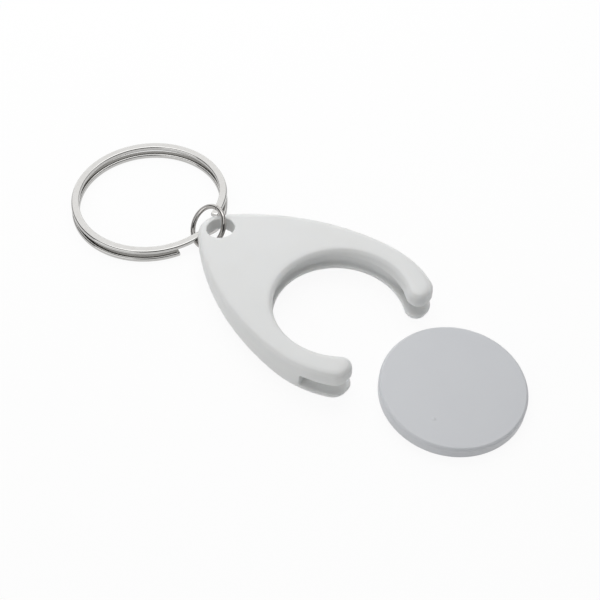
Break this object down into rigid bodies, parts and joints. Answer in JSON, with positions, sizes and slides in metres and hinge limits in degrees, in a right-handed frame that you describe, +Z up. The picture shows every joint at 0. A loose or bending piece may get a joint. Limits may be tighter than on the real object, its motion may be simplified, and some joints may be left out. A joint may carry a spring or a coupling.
{
  "type": "coin holder keyring",
  "caption": "Moulded plastic holder with a round coin slot at one end and a tail hole at the other, a loose disc token, a small jump ring and a flat-wire split ring.",
  "frame": {"origin": "on the floor under the middle of the whole part, as it lies flat", "axes": "+X from the split ring along the holder to its mouth and token, +Y to the left, +Z up from the floor"},
  "size_m": [0.0922, 0.0304, 0.0063],
  "materials": {
    "holder_plastic": "satin moulded",
    "token_plastic": "fine satin moulded",
    "plated_wire": "nickel plated, tumbled"
  },
  "bodies": {
    "holder": {"holder": "holder_plastic"},
    "token": {"token": "token_plastic"},
    "jump_ring": {"jump_ring": "plated_wire"},
    "split_ring": {"split_ring": "plated_wire"}
  },
  "joints": [
    {"name": "token_slide", "type": "slide", "parent": "holder", "child": "token", "axis": [-0.9985, 0, 0.0549], "range_m": [0, 0.0227]},
    {"name": "jump_ring_swing", "type": "hinge", "parent": "holder", "child": "jump_ring", "pos_m": [-0.01714, 0, 0.0036], "axis": [0.5, 0.866, 0], "range_deg": [0, 90]},
    {"name": "split_ring_rock", "type": "hinge", "parent": "jump_ring", "child": "split_ring", "pos_m": [-0.01928, -0.00053, 0.001], "axis": [0, 1, 0], "range_deg": [0, 20]}
  ]
}
